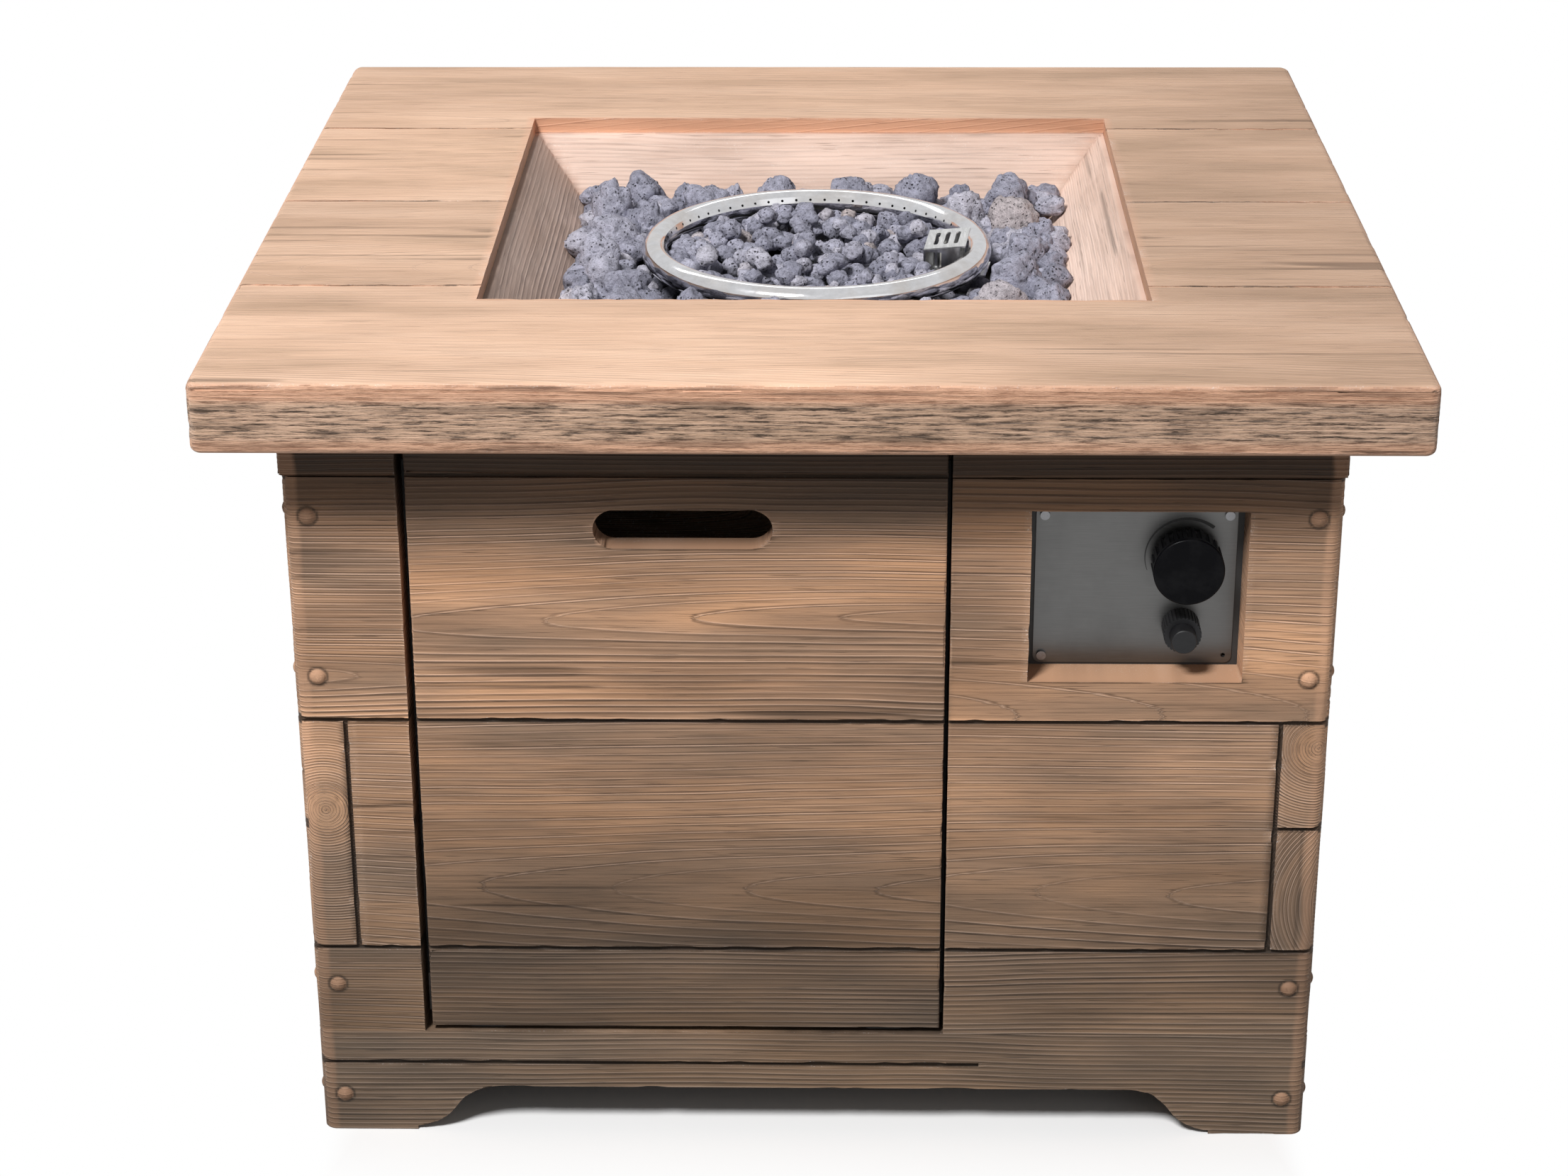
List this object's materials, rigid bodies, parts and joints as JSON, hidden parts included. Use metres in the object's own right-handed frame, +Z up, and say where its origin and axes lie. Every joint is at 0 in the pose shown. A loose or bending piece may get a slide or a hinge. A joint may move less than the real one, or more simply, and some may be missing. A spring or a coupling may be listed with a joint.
{
  "type": "propane fire pit",
  "caption": "Square propane fire pit table with a cast timber-look top and base, sunken lava rock well, ring burner, recessed control panel and lift-off door.",
  "frame": {"origin": "on the floor under the middle of the table top", "axes": "+Z up, -Y to the front with the door and the controls, +X to the right seen from the front"},
  "size_m": [0.813, 0.813, 0.597],
  "materials": {
    "cast_timber": "cast timber-look composite, brushed grain",
    "cast_timber_dark": "cast timber-look composite, darker patina",
    "well_cast": "cast timber-look composite, dusty",
    "burner_steel": "satin stainless steel, light heat tint",
    "sheet_steel": "black stoved sheet steel",
    "plate_steel": "brushed stainless plate",
    "screw_steel": "zinc plated",
    "brass": "machined",
    "alloy": "die cast",
    "black_plastic": "moulded, satin",
    "battery": "plain sleeve",
    "ceramic": "unglazed",
    "lava": "porous lava rock",
    "magnet": "nickel plated",
    "glide": "felted rubber pads",
    "copper": "drawn copper tube"
  },
  "bodies": {
    "table": {"table_top": "cast_timber", "well_surround": "well_cast", "surround_screws": "screw_steel", "front_wall": "cast_timber_dark", "back_wall": "cast_timber_dark", "left_wall": "cast_timber_dark", "right_wall": "cast_timber_dark", "corner_angles": "screw_steel", "corner_screws": "screw_steel", "top_angles": "screw_steel", "top_angle_screws": "screw_steel", "door_stops": "screw_steel", "stop_screws": "screw_steel", "burner_pan": "sheet_steel", "pan_screws": "screw_steel", "burner_ring": "burner_steel", "ring_legs": "burner_steel", "burner_inlet": "burner_steel", "inlet_locknut": "brass", "air_mixer": "alloy", "gas_jet": "brass", "feed_tube": "copper", "flare_nuts": "brass", "control_bracket": "sheet_steel", "bracket_screws": "screw_steel", "control_plate": "plate_steel", "plate_screws": "screw_steel", "valve_body": "alloy", "valve_nut": "brass", "gas_inlet_fitting": "brass", "valve_outlet": "brass", "igniter_body": "black_plastic", "igniter_battery": "battery", "igniter_nut": "black_plastic", "igniter_collar": "black_plastic", "pilot_plate": "burner_steel", "pilot_shield": "burner_steel", "spark_electrode": "ceramic", "thermocouple": "burner_steel", "lava_rock_bed": "lava", "lava_rocks_inner": "lava", "lava_rocks_outer": "lava"},
    "door": {"door_panel": "cast_timber_dark", "door_magnets": "magnet", "door_glides": "glide"},
    "plug": {"valve_plug": "brass"},
    "knob": {"control_knob": "black_plastic", "valve_stem": "screw_steel"},
    "button": {"igniter_button": "black_plastic"}
  },
  "joints": [
    {"name": "door_pull", "type": "slide", "parent": "table", "child": "door", "axis": [0, -1, 0], "range_m": [0, 0.25]},
    {"name": "knob_turn", "type": "hinge", "parent": "table", "child": "plug", "pos_m": [0.255, -0.34, 0.444], "axis": [0, -1, 0], "range_deg": [0, 180]},
    {"name": "knob_push", "type": "slide", "parent": "plug", "child": "knob", "axis": [0, 1, 0], "range_m": [0, 0.004], "stiffness_N_per_m": 1500},
    {"name": "igniter_press", "type": "slide", "parent": "table", "child": "button", "axis": [0, 1, 0], "range_m": [0, 0.005], "stiffness_N_per_m": 1200}
  ]
}
